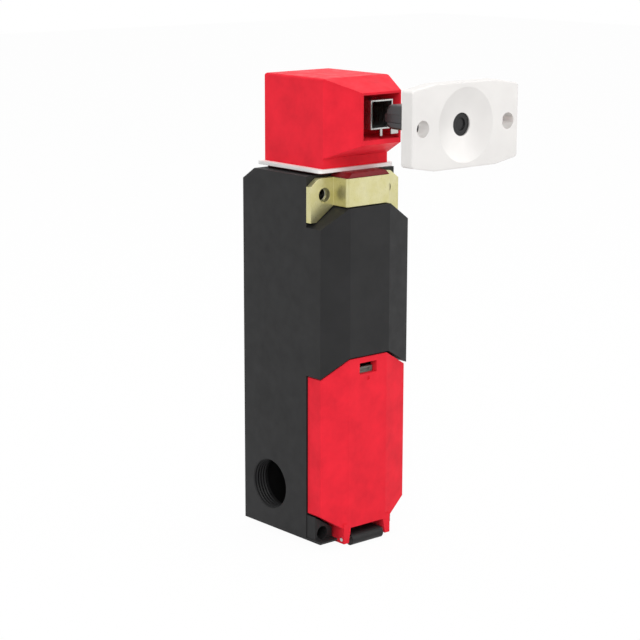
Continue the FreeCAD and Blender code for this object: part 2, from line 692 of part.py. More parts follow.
def turret_base():
    """Base of the head: flange on the body, spigot in its roof and the lobe that the bracket holds."""
    back = AXIS_Y + PLATE_D / 2.0 - BASE_BACK_INSET
    flange = wide_box(PLATE_W / 2.0 - BASE_SIDE_INSET, FRONT, back, TOP, PLATE_LOW)
    spigot = rod_z(SPIGOT_R, 0, AXIS_Y, SPIGOT_LOW, TOP).cut(seal_groove())
    half = LOBE_W / 2.0
    outline = both_sides([(half, BRACKET_TOP + SEAM / 2.0), (half - LOBE_TAPER, PLATE_LOW)])
    lobe = prism_xz(outline, BRACKET_FRONT + LOBE_BACK, FRONT)
    drop = wide_box(half - BRACKET_T, BRACKET_FRONT + BRACKET_T + SEAM, FRONT - SEAM, BRACKET_LOW,
                    BRACKET_TOP + PAST)
    return cut(join([flange, spigot, lobe, drop]), turret_holes(SPIGOT_LOW - PAST, PLATE_LOW + PAST))


def seal_groove():
    """Ring-shaped room round the spigot."""
    middle = TOP - WALL / 2.0
    low = middle - SEAL_GROOVE_W / 2.0
    high = middle + SEAL_GROOVE_W / 2.0
    return rod_z(SPIGOT_R + LOOSE, 0, AXIS_Y, low, high).cut(
        rod_z(SPIGOT_R - SEAL_GROOVE, 0, AXIS_Y, low, high))


def turret_plate():
    middle = AXIS_Y - PLATE_FORWARD
    plate = wide_box(PLATE_W / 2.0, middle - PLATE_D / 2.0, middle + PLATE_D / 2.0, PLATE_LOW, HEAD_LOW)
    front = [edge for edge in plate.Edges if upright(edge) and edge.BoundBox.YMax < middle]
    return cut(plate.makeChamfer(PLATE_CORNER, front), turret_holes(PLATE_LOW - PAST, HEAD_LOW + PAST))


def head_screws():
    """Four screws that clamp base, plate and head together from below."""
    return [rod_z(SCREW_R, x, y, SPIGOT_LOW, HEAD_LOW + SCREW_BITE).fuse(
        rod_z(SCREW_HEAD_R, x, y, SPIGOT_LOW - SCREW_HEAD_T, SPIGOT_LOW)) for x, y in head_screw_places()]


def head_housing():
    """Red head: a block with a tapered snout, hollow round the cam, with a wide mouth."""
    half = HEAD_W / 2.0
    block = wide_box(half, HEAD_FRONT, HEAD_FRONT + HEAD_D, HEAD_LOW, HEAD_TOP)
    block = soften(block, HEAD_BACK_ROUND, lambda e: upright(e) and at(e.BoundBox.YMax, HEAD_FRONT + HEAD_D))
    root = rectangle(half, HEAD_FRONT, HEAD_LOW + SNOUT_ROOT, HEAD_TOP)
    nose = rectangle(SNOUT_W / 2.0, SNOUT_FRONT, HEAD_LOW + SNOUT_LOW, HEAD_LOW + SNOUT_HIGH)
    shape = join([block, Part.makeLoft([root, nose], True, True)])
    shape = soften(shape, HEAD_TOP_ROUND, top_edge)
    return cut(shape, head_hollows())


def top_edge(edge):
    return at(edge.BoundBox.ZMin, HEAD_TOP) and edge.BoundBox.Center.y > HEAD_FRONT + HEAD_TOP_ROUND


def head_hollows():
    low = HEAD_LOW + MOUTH_LOW
    high = HEAD_LOW + MOUTH_HIGH
    outer = rectangle(MOUTH_W / 2.0, SNOUT_FRONT, low, high)
    inner = rectangle(MOUTH_W / 2.0 - MOUTH_TAPER, MOUTH_BACK, low + MOUTH_TAPER_HIGH,
                      high - MOUTH_TAPER_HIGH)
    mouth = Part.makeLoft([outer, inner], True, True)
    half_h = GUIDE_H / 2.0
    throat = wide_box(GUIDE_W / 2.0, MOUTH_BACK - PAST, CAVITY_FRONT + PAST, KEY_Z - half_h, KEY_Z + half_h)
    floor = HEAD_LOW + HEAD_FLOOR
    cavity = wide_box(CAVITY_W / 2.0, CAVITY_FRONT, AXIS_Y + CAVITY_REACH, floor, KEY_Z + CAVITY_OVER)
    hollows = [mouth, throat, cavity, cam_shaft(), rod_z(BUSHING_R, 0, AXIS_Y, HEAD_LOW - PAST, floor + PAST)]
    for x, y in head_screw_places():
        hollows.append(rod_z(SCREW_R, x, y, HEAD_LOW - PAST, HEAD_LOW + SCREW_BITE))
    return hollows


def key_guide():
    """Square sheet sleeve in the mouth, with a leg and a tab below."""
    half_w = GUIDE_W / 2.0
    half_h = GUIDE_H / 2.0
    low = KEY_Z - half_h
    outer = wide_box(half_w, SNOUT_FRONT, CAVITY_FRONT, low, KEY_Z + half_h)
    bore = wide_box(half_w - GUIDE_T, SNOUT_FRONT - PAST, CAVITY_FRONT + PAST, low + GUIDE_T,
                    KEY_Z + half_h - GUIDE_T)
    face = SNOUT_FRONT + GUIDE_SET
    inner = low + GUIDE_T / 2.0
    leg = wide_box(GUIDE_LEG_W / 2.0, face, face + GUIDE_LEG_T, low - GUIDE_LEG_H, inner)
    tab_x = half_w - GUIDE_T
    tab = box(tab_x, tab_x + GUIDE_TAB_W, face, face + GUIDE_TAB_T, low - GUIDE_TAB_H, inner)
    return join([outer, leg, tab]).cut(bore)


def on_cam(radius, degrees):
    """Point on the left face of the cam's lobe; -90 degrees is straight below the shaft."""
    angle = math.radians(degrees)
    return Vector(-CAM_W / 2.0, AXIS_Y + radius * math.cos(angle), CAM_Z + radius * math.sin(angle))


def cam_lobe():
    """Lobe with a spiral that lets the plunger rise as the cam turns."""
    fall = CAM_STROKE + CAM_RELIEF
    shares = [i / CAM_STEPS for i in range(CAM_STEPS + 1)]
    points = [on_cam(CAM_LOW_R - fall * share, CAM_TURN * share - 90.0) for share in shares]
    spiral = Part.BSplineCurve()
    spiral.interpolate(points)
    hub = on_cam(0.0, 0.0)
    lead = on_cam(CAM_LOW_R, -90.0 - CAM_LEAD)
    middle = on_cam(CAM_LOW_R, -90.0 - CAM_LEAD / 2.0)
    curves = [spiral, Part.LineSegment(points[-1], hub), Part.LineSegment(hub, lead),
              Part.Arc(lead, middle, points[0])]
    edges = [curve.toShape() for curve in curves]
    return Part.Face(Part.Wire(Part.__sortEdges__(edges))).extrude(Vector(CAM_W, 0, 0))


def cam_drum():
    """Cam on the head's shaft: a claw for the tongue's pocket above, a spiral lobe for the plunger below."""
    tip = AXIS_Y - TOOTH_R
    outline = [(AXIS_Y, CAM_Z - CLAW_ROOT), (tip, CAM_Z - CLAW_TIP), (tip, CAM_Z + CLAW_TIP),
               (AXIS_Y, CAM_Z + CLAW_ROOT)]
    claw = prism_yz(outline, -TOOTH_W / 2.0, TOOTH_W / 2.0)
    claw.rotate(Vector(0, AXIS_Y, CAM_Z), Vector(1, 0, 0), CLAW_DROP)
    half = CAVITY_W / 2.0 - SEAM
    drum = rod_x(HUB_R, -half, half, AXIS_Y, CAM_Z)
    bore = rod_x(SHAFT_R + RUNNING, -half - PAST, half + PAST, AXIS_Y, CAM_Z)
    return join([drum, cam_lobe(), claw]).cut(bore)


def cam_shaft():
    return rod_x(SHAFT_R, -SHAFT_LENGTH / 2.0, SHAFT_LENGTH / 2.0, AXIS_Y, CAM_Z)


def plunger_bushing():
    high = HEAD_LOW + HEAD_FLOOR
    tube = rod_z(BUSHING_R, 0, AXIS_Y, SPIGOT_LOW, high)
    return tube.cut(rod_z(ROD_R + RUNNING, 0, AXIS_Y, SPIGOT_LOW - PAST, high + PAST))


def plunger_rod():
    """Rod from the cam down to the contact block, with the collar that the lock holds."""
    tip_z = CAM_Z - CAM_LOW_R - CAM_GAP - ROD_TIP_R
    cone_z = tip_z - ROD_TIP_CONE
    neck = LOCK_Z + LOCK_NOSE + CAM_STROKE + ROD_NECK_ROOM
    tip = Part.makeSphere(ROD_TIP_R, Vector(0, AXIS_Y, tip_z))
    cone = Part.makeCone(ROD_R, ROD_TIP_R, ROD_TIP_CONE, Vector(0, AXIS_Y, cone_z), Vector(0, 0, 1))
    thick = rod_z(ROD_R, 0, AXIS_Y, neck, cone_z)
    thin = rod_z(ROD_NECK_R, 0, AXIS_Y, CARRIER_TOP, neck)
    collar_top = LOCK_Z - COLLAR_GAP
    collar = rod_z(COLLAR_R, 0, AXIS_Y, collar_top - COLLAR_T, collar_top)
    return join([tip, cone, thick, thin, collar])


def head_bracket():
    """Hat-shaped steel bracket that clamps the turret base's lobe to the body."""
    web = BRACKET_W / 2.0
    inner = web - BRACKET_T
    hat = bracket_hat(web, BRACKET_FRONT, BRACKET_ROUND)
    hat = hat.cut(bracket_hat(inner, BRACKET_FRONT + BRACKET_T, BRACKET_ROUND_IN))
    hat = hat.common(wide_box(BODY_HALF, BRACKET_FRONT - PAST, FRONT, BRACKET_LOW, BRACKET_TOP))
    outline = [(inner, BRACKET_LOW), (web, BRACKET_LOW), (BODY_HALF - EAR_SLOPE_END, EAR_LOW),
               (BODY_HALF, EAR_LOW), (BODY_HALF, BRACKET_TOP - EAR_CORNER_DROP),
               (BODY_HALF - EAR_CORNER_RUN, BRACKET_TOP), (inner, BRACKET_TOP)]
    ear = prism_xz(outline, FRONT - EAR_T, FRONT)
    hole = rod_y(BRACKET_HOLE_R, FIX_HIGH_GAP / 2.0, FRONT - EAR_T - PAST, FRONT + PAST, FIX_HIGH_Z)
    return cut(join([hat, ear, mirrored(ear)]), [hole, mirrored(hole)])


def bracket_hat(half, front, radius):
    """Block as wide as the hat, with its two front edges rounded."""
    block = wide_box(half, front, FRONT + PAST, BRACKET_LOW - PAST, BRACKET_TOP + PAST)
    return soften(block, radius, lambda edge: upright(edge) and at(edge.BoundBox.YMax, front))


# ---------------------------------------------------------------- lock
def solenoid_yoke():
    """U-shaped steel frame round the coil, closed by the back plate."""
    front = SOLENOID_Y - YOKE_D / 2.0
    back = SOLENOID_Y + YOKE_D / 2.0
    block = wide_box(YOKE_W / 2.0, front, back, YOKE_LOW, YOKE_TOP)
    window = wide_box(YOKE_W / 2.0 + PAST, front - PAST, back - YOKE_T, COIL_LOW, COIL_TOP)
    holes = [rod_z(ARMATURE_R + LOOSE, 0, SOLENOID_Y, YOKE_LOW - PAST, COIL_LOW + PAST),
             rod_z(CORE_R, 0, SOLENOID_Y, COIL_TOP - PAST, YOKE_TOP + PAST)]
    return cut(block.cut(window), holes)


def solenoid_bobbin():
    spool = join([rod_z(BOBBIN_R, 0, SOLENOID_Y, COIL_LOW, COIL_TOP),
                  rod_z(FLANGE_R, 0, SOLENOID_Y, COIL_LOW, COIL_LOW + BOBBIN_FLANGE),
                  rod_z(FLANGE_R, 0, SOLENOID_Y, COIL_TOP - BOBBIN_FLANGE, COIL_TOP)])
    return spool.cut(rod_z(ARMATURE_R + LOOSE, 0, SOLENOID_Y, COIL_LOW - PAST, COIL_TOP + PAST))


def solenoid_winding():
    low = COIL_LOW + BOBBIN_FLANGE
    high = COIL_TOP - BOBBIN_FLANGE
    ring = rod_z(FLANGE_R - WINDING_GAP, 0, SOLENOID_Y, low, high)
    return ring.cut(rod_z(BOBBIN_R, 0, SOLENOID_Y, low - PAST, high + PAST))


def solenoid_core():
    return rod_z(CORE_R, 0, SOLENOID_Y, YOKE_TOP - CORE_LENGTH, YOKE_TOP)


def armature():
    """Moving core of the solenoid; its lower end is a fork for the lock slide."""
    low = LOCK_Z - ARMATURE_DROP
    body = rod_z(ARMATURE_R, 0, SOLENOID_Y, low, ARMATURE_TOP)
    fork_top = LOCK_Z + LOCK_NOSE + LOCK_STROKE + FORK_ROOM
    reach = ARMATURE_R + PAST
    fork = wide_box(SLIDE_T / 2.0 + LOOSE, SOLENOID_Y - reach, SOLENOID_Y + reach, low - PAST, fork_top)
    pin = rod_x(PIN_R, -ARMATURE_R, ARMATURE_R, SOLENOID_Y, PIN_Z)
    bore = rod_z(RETURN_R + RETURN_ROOM, 0, SOLENOID_Y, ARMATURE_TOP - RETURN_DEPTH, ARMATURE_TOP + PAST)
    return cut(body, [fork, pin, bore])


def armature_pin():
    half = ARMATURE_R - PIN_INSET
    return rod_x(PIN_R, -half, half, SOLENOID_Y, PIN_Z)


def armature_spring():
    low = ARMATURE_TOP - RETURN_DEPTH
    tube = rod_z(RETURN_R, 0, SOLENOID_Y, low, ARMATURE_TOP + SEAM)
    return tube.cut(rod_z(RETURN_R - RETURN_WALL, 0, SOLENOID_Y, low - PAST, ARMATURE_TOP + PAST))


def lock_slide():
    """Flat slide with a slanted slot: as the armature drops, the nose moves over the rod's collar."""
    y = SOLENOID_Y
    nose = AXIS_Y - COLLAR_R - LOCK_GAP
    top = LOCK_Z + LOCK_NOSE
    outline = [(y - SLIDE_BACK, LOCK_Z - SLIDE_SHELF), (y - SLIDE_STEP, LOCK_Z - SLIDE_SHELF),
               (y - SLIDE_STEP, LOCK_Z - SLIDE_DEPTH), (y + SLIDE_HEEL, LOCK_Z - SLIDE_DEPTH),
               (y + SLIDE_HEEL, LOCK_Z - SLIDE_TOE_RISE), (y + SLIDE_TOE, LOCK_Z), (nose, LOCK_Z),
               (nose, top), (y - SLIDE_BACK, top)]
    return prism_yz(outline, -SLIDE_T / 2.0, SLIDE_T / 2.0).cut(slanted_slot())


def slanted_slot():
    """Slot at 45 degrees; its upper end holds the pin at rest."""
    radius = PIN_R + SLOT_ROOM
    upper = Vector(0, SOLENOID_Y, PIN_Z)
    lower = Vector(0, SOLENOID_Y - LOCK_STROKE, PIN_Z - LOCK_STROKE)
    off = radius / math.sqrt(2.0)
    band = [(upper.y - off, upper.z + off), (upper.y + off, upper.z - off), (lower.y + off, lower.z - off),
            (lower.y - off, lower.z + off)]
    ends = [rod_x(radius, -SLIDE_T, SLIDE_T, end.y, end.z) for end in (upper, lower)]
    return join([prism_yz(band, -SLIDE_T, SLIDE_T)] + ends)


def lock_guide():
    """Two posts under the shelf; the slide runs through them."""
    posts = []
    for y in (SOLENOID_Y - POST_FRONT - POST_T, SOLENOID_Y + POST_REAR):
        post = wide_box(POST_W / 2.0, y, y + POST_T, LOCK_Z - POST_DROP, SHELF_LOW)
        window = wide_box(SLIDE_T / 2.0 + SEAM, y - PAST, y + POST_T + PAST, LOCK_Z - SLIDE_SHELF - SEAM,
                          LOCK_Z + LOCK_NOSE + SEAM)
        posts.append(post.cut(window))
    return posts


# ---------------------------------------------------------------- contacts
def contact_block():
    """Block of the contacts, with a chamber for the carrier and a pocket for each terminal."""
    block = wide_box(BLOCK_W / 2.0, BLOCK_FRONT, INSIDE, BLOCK_LOW, BLOCK_TOP)
    reach = CARRIER_D / 2.0 + CHAMBER_FRONT
    chamber = wide_box(CARRIER_W / 2.0 + CHAMBER_SIDE, AXIS_Y - reach, AXIS_Y + reach, SPRING_LOW,
                       CARRIER_TOP + CAM_STROKE + CHAMBER_OVER)
    bore = rod_z(ROD_NECK_R + LOOSE, 0, AXIS_Y, CARRIER_TOP, BLOCK_TOP + PAST)
    pockets = [box_about(x, z, POCKET_W, POCKET_H, BLOCK_FRONT - PAST, BLOCK_FRONT + POCKET_D)
               for x, z in terminal_places()]
    return cut(block, [chamber, bore] + pockets)


def terminal_places():
    rows = (BLOCK_LOW + TERMINAL_RISE, BLOCK_LOW + TERMINAL_RISE + TERMINAL_ROW)
    return [(TERMINAL_PITCH * column, z) for z in rows for column in (-1.5, -0.5, 0.5, 1.5)]


def box_about(x, z, width, height, y0, y1):
    """Box whose front view is centred on one point."""
    return box(x - width / 2.0, x + width / 2.0, y0, y1, z - height / 2.0, z + height / 2.0)


def terminal_clamps():
    back = BLOCK_FRONT + POCKET_D
    return [box_about(x, z, CLAMP_W, CLAMP_H, back - CLAMP_T, back) for x, z in terminal_places()]


def slotted_head(radius, x, front, thickness, z):
    head = rod_y(radius, x, front, front + thickness, z)
    return head.cut(box_about(x, z, 2.0 * radius, SLOT_W, front - PAST, front + SLOT_DEPTH))


def terminal_screws():
    """Slotted screws on the terminal clamps."""
    front = BLOCK_FRONT + POCKET_D - CLAMP_T - CLAMP_SCREW_T
    return [slotted_head(CLAMP_SCREW_R, x, front, CLAMP_SCREW_T, z) for x, z in terminal_places()]


def contact_carrier():
    depth = CARRIER_D / 2.0
    body = wide_box(CARRIER_W / 2.0, AXIS_Y - depth, AXIS_Y + depth, CARRIER_LOW, CARRIER_TOP)
    reach = BRIDGE_D / 2.0 + SEAM
    slots = [box_about(0, z, CARRIER_W + 2.0 * PAST, BRIDGE_SLOT_H, AXIS_Y - reach, AXIS_Y + reach)
             for z in bridge_heights()]
    return cut(body, slots)


def bridge_heights():
    middle = (CARRIER_LOW + CARRIER_TOP) / 2.0
    return [middle - BRIDGE_PITCH / 2.0, middle + BRIDGE_PITCH / 2.0]


def contact_bridges():
    """Flat bridges that lie on the floors of the carrier's slots."""
    half = CARRIER_W / 2.0 + BRIDGE_PROUD
    reach = BRIDGE_D / 2.0
    floors = [z - BRIDGE_SLOT_H / 2.0 for z in bridge_heights()]
    return [wide_box(half, AXIS_Y - reach, AXIS_Y + reach, floor, floor + BRIDGE_T) for floor in floors]


def carrier_spring():
    tube = rod_z(SPRING_R, 0, AXIS_Y, SPRING_LOW, CARRIER_LOW)
    return tube.cut(rod_z(SPRING_R - SPRING_WALL, 0, AXIS_Y, SPRING_LOW - PAST, CARRIER_LOW + PAST))


def earth_terminal():
    """Brass earth screw and washer on a pad of the back wall."""
    z = BASE + EARTH_RISE
    face = INSIDE - EARTH_PAD_T
    pad = rod_y(EARTH_PAD_R, EARTH_X, face, INSIDE, z)
    return pad.fuse(slotted_head(EARTH_SCREW_R, EARTH_X, face - EARTH_SCREW_T, EARTH_SCREW_T, z))


# ---------------------------------------------------------------- actuator
def actuator_outline():
    end = ACT_W / 2.0
    return both_sides([(ACT_SHOULDER / 2.0, KEY_Z - ACT_H / 2.0), (end, KEY_Z - ACT_H_END / 2.0),
                       (end, KEY_Z + ACT_H_END / 2.0), (ACT_SHOULDER / 2.0, KEY_Z + ACT_H / 2.0)])


def seat_cone(touch, y0, y1):
    """Cone round the ball between two planes; it meets the ball's room on the circle at one offset."""
    slope = touch / math.sqrt(SEAT_R ** 2 - touch ** 2)
    apex = SEAT_R ** 2 / math.sqrt(SEAT_R ** 2 - touch ** 2)
    radii = [apex - slope * (y - BALL_Y) for y in (y0, y1)]
    return Part.makeCone(radii[0], radii[1], y1 - y0, Vector(0, y0, KEY_Z), Vector(0, 1, 0))


def actuator_plate():
    """Die-cast plate with a shallow round dish; its middle holds the front of the ball."""
    plate = prism_xz(actuator_outline(), ACT_FRONT, ACT_BACK)
    plate = soften(plate, ACT_CORNER, lambda edge: along(edge, Vector(0, 1, 0)))
    plate = soften(plate, ACT_EDGE, lambda edge: at(edge.BoundBox.YMax, ACT_FRONT))
    dish_sphere_r = (DISH_R ** 2 + DISH_DEPTH ** 2) / (2.0 * DISH_DEPTH)
    dish = Part.makeSphere(dish_sphere_r, Vector(0, DISH_FLOOR - dish_sphere_r, KEY_Z))
    hole = rod_y(ACT_HOLE_R, ACT_HOLE_X, ACT_FRONT - PAST, ACT_BACK + PAST, KEY_Z)
    eye = rod_y(EYE_R, 0, ACT_FRONT, ACT_BACK, KEY_Z)
    seat = seat_cone(-SEAT_FRONT, DISH_FLOOR + EYE_LIP, ACT_BACK)
    return cut(plate, [dish, eye, seat, hole, mirrored(hole)])


def socket_ring():
    """Back of the ball socket, fixed behind the plate."""
    ring = rod_y(SOCKET_R, 0, ACT_BACK, SOCKET_BACK, KEY_Z)
    ring = ring.makeChamfer(SOCKET_CHAMFER, [e for e in ring.Edges if at(e.BoundBox.Center.y, SOCKET_BACK)])
    return ring.cut(seat_cone(SEAT_BACK, ACT_BACK, SOCKET_BACK))


def swivel_ball():
    """Ball in the plate's socket, cut flat at both ends and slotted for the tongue's tang."""
    ball = Part.makeSphere(BALL_R, Vector(0, BALL_Y, KEY_Z))
    flat = BALL_Y - BALL_FLAT
    ball = ball.common(rod_y(BALL_R, 0, flat, BALL_Y + BALL_FLAT, KEY_Z))
    dimple = rod_y(BALL_DIMPLE_R, 0, flat - PAST, flat + BALL_DIMPLE_DEPTH, KEY_Z)
    slot = wide_box(TANG_T / 2.0 + RUNNING, BALL_Y - TANG_H / 2.0 - TANG_ROOM, BALL_Y + BALL_R,
                    KEY_Z - BALL_R, KEY_Z + BALL_R)
    return cut(ball, [dimple, slot, rod_x(TANG_PIN_R, -BALL_R, BALL_R, BALL_Y, KEY_Z)])


def swivel_pin():
    half = math.sqrt(BALL_R ** 2 - TANG_PIN_R ** 2) - RUNNING
    return rod_x(TANG_PIN_R, -half, half, BALL_Y, KEY_Z)


def tongue_bar():
    """Bar of the tongue with rounded edges and a groove down each side."""
    half_w = TONGUE_W / 2.0
    half_h = TONGUE_H / 2.0
    end = TIP_Y - WEB_PROUD
    bar = wide_box(half_w, SHOULDER_Y, end, KEY_Z - half_h, KEY_Z + half_h)
    bar = soften(bar, TONGUE_NOSE_R, lambda edge: crosswise(edge, end))
    bar = soften(bar, TONGUE_EDGE, lambda edge: along(edge, Vector(0, 1, 0)))
    low = GROOVE_Z - GROOVE_H / 2.0
    high = GROOVE_Z + GROOVE_H / 2.0
    groove = box(half_w - GROOVE_D, half_w + PAST, SHOULDER_Y + TONGUE_GAP, TIP_Y + PAST, low, high)
    web = wide_box(half_w - GROOVE_D, end - TONGUE_NOSE_R, TIP_Y, low, high)
    web = soften(web, WEB_ROUND, lambda edge: crosswise(edge, TIP_Y))
    return [cut(bar, [groove, mirrored(groove)]), web]


def actuator_tongue():
    """Tongue: a web between two rounded lobes, with a tang for the ball and a pocket for the cam's claw."""
    low = KEY_Z - TONGUE_H / 2.0
    pocket_end = TIP_Y - TIP_BAR
    pocket = wide_box(TOOTH_W / 2.0 + LOOSE, pocket_end - POCKET_LENGTH, pocket_end, low - PAST,
                      low + POCKET_DEPTH)
    half_t = TANG_T / 2.0
    tang = wide_box(half_t, BALL_Y, SHOULDER_Y + PAST, KEY_Z - TANG_H / 2.0, KEY_Z + TANG_H / 2.0)
    end = rod_x(TANG_H / 2.0, -half_t, half_t, BALL_Y, KEY_Z)
    hole = rod_x(TANG_PIN_R + RUNNING, -half_t - PAST, half_t + PAST, BALL_Y, KEY_Z)
    return cut(join(tongue_bar() + [tang, end]), [pocket, hole])


def main():
    os.makedirs("parts", exist_ok=True)
    save("body_housing", body_housing())
    save("fixing_bushes", fixing_bushes())
    save("entry_plug", entry_plug())
    save("wiring_lid", wiring_lid())
    save("lid_seal", lid_seal())
    save("lid_latch", lid_latch())
    save("hinge_pin", hinge_pin())
    save("turret_base", turret_base())
    save("turret_seal", seal_groove())
    save("turret_plate", turret_plate())
    save("head_screws", head_screws())
    save("head_housing", head_housing())
    save("key_guide", key_guide())
    save("head_bracket", head_bracket())
    save("cam_drum", cam_drum())
    save("cam_shaft", cam_shaft())
    save("plunger_bushing", plunger_bushing())
    save("plunger_rod", plunger_rod())
    save("solenoid_yoke", solenoid_yoke())
    save("solenoid_bobbin", solenoid_bobbin())
    save("solenoid_winding", solenoid_winding())
    save("solenoid_core", solenoid_core())
    save("armature", armature())
    save("armature_pin", armature_pin())
    save("armature_spring", armature_spring())
    save("lock_slide", lock_slide())
    save("lock_guide", lock_guide())
    save("contact_block", contact_block())
    save("terminal_clamps", terminal_clamps())
    save("terminal_screws", terminal_screws())
    save("contact_carrier", contact_carrier())
    save("contact_bridges", contact_bridges())
    save("carrier_spring", carrier_spring())
    save("earth_terminal", earth_terminal())
    save("actuator_plate", actuator_plate())
    save("socket_ring", socket_ring())
    save("swivel_ball", swivel_ball())
    save("swivel_pin", swivel_pin())
    save("actuator_tongue", actuator_tongue())


main()
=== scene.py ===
import json
import math

import bmesh
import bpy
from mathutils import Matrix, Vector


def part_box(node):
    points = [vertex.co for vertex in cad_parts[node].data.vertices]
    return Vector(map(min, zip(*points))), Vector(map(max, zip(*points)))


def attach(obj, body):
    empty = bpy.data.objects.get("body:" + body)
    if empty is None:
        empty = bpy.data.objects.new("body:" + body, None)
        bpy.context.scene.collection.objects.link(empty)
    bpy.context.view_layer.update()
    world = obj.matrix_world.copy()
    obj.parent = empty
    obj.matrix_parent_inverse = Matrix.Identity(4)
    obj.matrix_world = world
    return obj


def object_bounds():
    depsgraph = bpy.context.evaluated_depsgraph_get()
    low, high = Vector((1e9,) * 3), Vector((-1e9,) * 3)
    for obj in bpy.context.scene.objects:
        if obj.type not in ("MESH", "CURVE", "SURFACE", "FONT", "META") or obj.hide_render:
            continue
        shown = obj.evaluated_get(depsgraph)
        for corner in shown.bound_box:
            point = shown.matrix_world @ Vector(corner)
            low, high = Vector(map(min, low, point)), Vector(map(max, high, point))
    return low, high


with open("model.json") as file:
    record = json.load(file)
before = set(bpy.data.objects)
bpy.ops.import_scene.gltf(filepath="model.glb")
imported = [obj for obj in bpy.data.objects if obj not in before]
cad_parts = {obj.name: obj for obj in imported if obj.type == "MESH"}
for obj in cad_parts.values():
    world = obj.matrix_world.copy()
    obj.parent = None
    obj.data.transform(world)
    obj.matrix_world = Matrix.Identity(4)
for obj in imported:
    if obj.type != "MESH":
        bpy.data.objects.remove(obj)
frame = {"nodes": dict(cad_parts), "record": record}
CAD_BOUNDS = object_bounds()

MM = 0.001

# ---------------------------------------------------------------- light, floor and camera, in metres
WORLD_STRENGTH = 0.46
FLOOR_WHITENESS = 0.97
FLOOR_HALF = 3.0
FLOOR_GREY = 0.9
FLOOR_ROUGHNESS = 0.9
LAMP_AIM = Vector((0.0, -0.03, 0.1))
LAMPS = [
    ("key", (-0.9, -0.9, 1.1), 0.9, 10.0),
    ("fill", (1.1, -0.9, 0.6), 1.0, 4.0),
    ("top", (0.1, 0.1, 1.6), 1.0, 11.0),
]
CAMERA_PLACE = Vector((-0.5342, -0.6459, 0.2724))
CAMERA_AIM = (0.6355, 0.7408, -0.2176)
CAMERA_ROLL = math.radians(0.11)
CAMERA_SENSOR = 36.0
CAMERA_LENS = 104.38
CAMERA_REACH = 20.0

# ---------------------------------------------------------------- thread of the cable entry
THREAD_PITCH = 1.5 * MM
THREAD_HEIGHT = 0.35 * MM
THREAD_SINK = 0.02 * MM
THREAD_BACKING = 0.01 * MM
THREAD_IN = 1.2 * MM
THREAD_OUT = 7.6 * MM
THREAD_CREST_FROM, THREAD_CREST_TO, THREAD_FOOT = 0.3, 0.5, 0.8
THREAD_STEPS = 120
THREAD_SMOOTH = 20.0

# ---------------------------------------------------------------- places, from the frame
BODY_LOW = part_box("body_housing")[0]


def mount(name):
    """The record's mount of that name: its place and its sizes in metres."""
    found = [m for m in frame["record"]["mounts"] if m["name"] == name][0]
    sizes = {key: value * MM for key, value in found["dims"].items() if key.endswith("_mm")}
    return Vector(found["pos_m"]), sizes


# ---------------------------------------------------------------- procedural materials
def linear(*srgb):
    """A display colour as the shader's linear colour."""
    return tuple(c / 12.92 if c <= 0.04045 else ((c + 0.055) / 1.055) ** 2.4 for c in srgb)


class Surface:
    """A principled material whose colour, roughness and relief come from noise in object space."""

    def __init__(self, name, roughness, metallic=0.0, specular=0.5, edge=0.25 * MM):
        self.material = bpy.data.materials.new(name)
        self.material.use_nodes = True
        self.nodes = self.material.node_tree.nodes
        self.links = self.material.node_tree.links
        self.shader = self.nodes["Principled BSDF"]
        self.shader.inputs["Roughness"].default_value = roughness
        self.shader.inputs["Metallic"].default_value = metallic
        self.shader.inputs["Specular IOR Level"].default_value = specular
        self.edge = edge
        self.place = self.nodes.new("ShaderNodeTexCoord").outputs["Object"]

    def noise(self, size, detail=3.0, stretch=(1.0, 1.0, 1.0)):
        """Noise with features of the given size in metres, drawn out along the axes by stretch."""
        mapping = self.nodes.new("ShaderNodeMapping")
        mapping.inputs["Scale"].default_value = [1.0 / (size * s) for s in stretch]
        texture = self.nodes.new("ShaderNodeTexNoise")
        texture.inputs["Scale"].default_value = 1.0
        texture.inputs["Detail"].default_value = detail
        self.links.new(self.place, mapping.inputs["Vector"])
        self.links.new(mapping.outputs["Vector"], texture.inputs["Vector"])
        return texture.outputs["Fac"]

    def spread(self, value, low, high):
        """Maps the middle of a noise to a range."""
        node = self.nodes.new("ShaderNodeMapRange")
        node.inputs["From Min"].default_value = 0.3
        node.inputs["From Max"].default_value = 0.7
        node.inputs["To Min"].default_value = low
        node.inputs["To Max"].default_value = high
        self.links.new(value, node.inputs["Value"])
        return node.outputs["Result"]

    def blend(self, share, first, second):
        node = self.nodes.new("ShaderNodeMix")
        node.data_type = "RGBA"
        self.links.new(share, node.inputs["Factor"])
        for socket, colour in ((node.inputs["A"], first), (node.inputs["B"], second)):
            if isinstance(colour, tuple):
                socket.default_value = colour + (1.0,)
            else:
                self.links.new(colour, socket)
        return node.outputs["Result"]

    def colour(self, output):
        self.links.new(output, self.shader.inputs["Base Color"])

    def roughness(self, value, low, high):
        self.links.new(self.spread(value, low, high), self.shader.inputs["Roughness"])

    def relief(self, *layers):
        """Softly rounded edges, and bumps over them: pairs of a noise and its height in metres."""
        rounding = self.nodes.new("ShaderNodeBevel")
        rounding.samples = 6
        rounding.inputs["Radius"].default_value = self.edge
        normal = rounding.outputs["Normal"]
        for value, height in layers:
            bump = self.nodes.new("ShaderNodeBump")
            bump.inputs["Distance"].default_value = height
            bump.inputs["Strength"].default_value = 1.0
            self.links.new(value, bump.inputs["Height"])
            self.links.new(normal, bump.inputs["Normal"])
            normal = bump.outputs["Normal"]
        self.links.new(normal, self.shader.inputs["Normal"])


def scaled(colour, factor):
    return tuple(min(1.0, c * factor) for c in colour)


